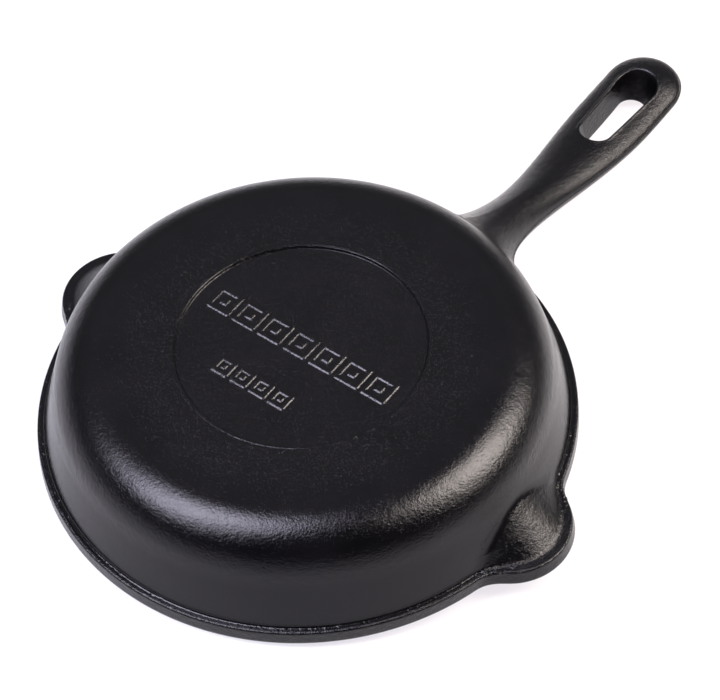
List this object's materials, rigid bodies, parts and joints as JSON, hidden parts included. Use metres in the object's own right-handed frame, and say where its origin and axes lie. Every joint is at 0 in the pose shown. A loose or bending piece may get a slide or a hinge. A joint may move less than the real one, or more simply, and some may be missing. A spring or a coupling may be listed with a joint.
{
  "type": "cast iron skillet",
  "caption": "Round cast iron skillet lying upside down, with pour spouts on both sides of the rim and a long curved handle with a hanging hole.",
  "frame": {"origin": "centre of the shallow round panel sunk in the flat underside, on the pan's own axis", "axes": "the skillet is stored upside down, as it lies: +Z is the pan's axis pointing out of the underside, so the bowl opens towards -Z; +X runs from the axis along the handle; the pour spouts are on +Y and -Y. For cooking it is turned over about X."},
  "size_m": [0.2849, 0.188, 0.0575],
  "materials": {
    "seasoned_iron": "black baked-oil seasoning over fine sand-cast grain, satin"
  },
  "bodies": {
    "root": {"pan_floor": "seasoned_iron", "side_wall": "seasoned_iron", "rim_front": "seasoned_iron", "rim_back": "seasoned_iron", "pour_spout_left": "seasoned_iron", "pour_spout_right": "seasoned_iron", "handle_neck": "seasoned_iron", "handle_grip": "seasoned_iron"}
  },
  "joints": []
}
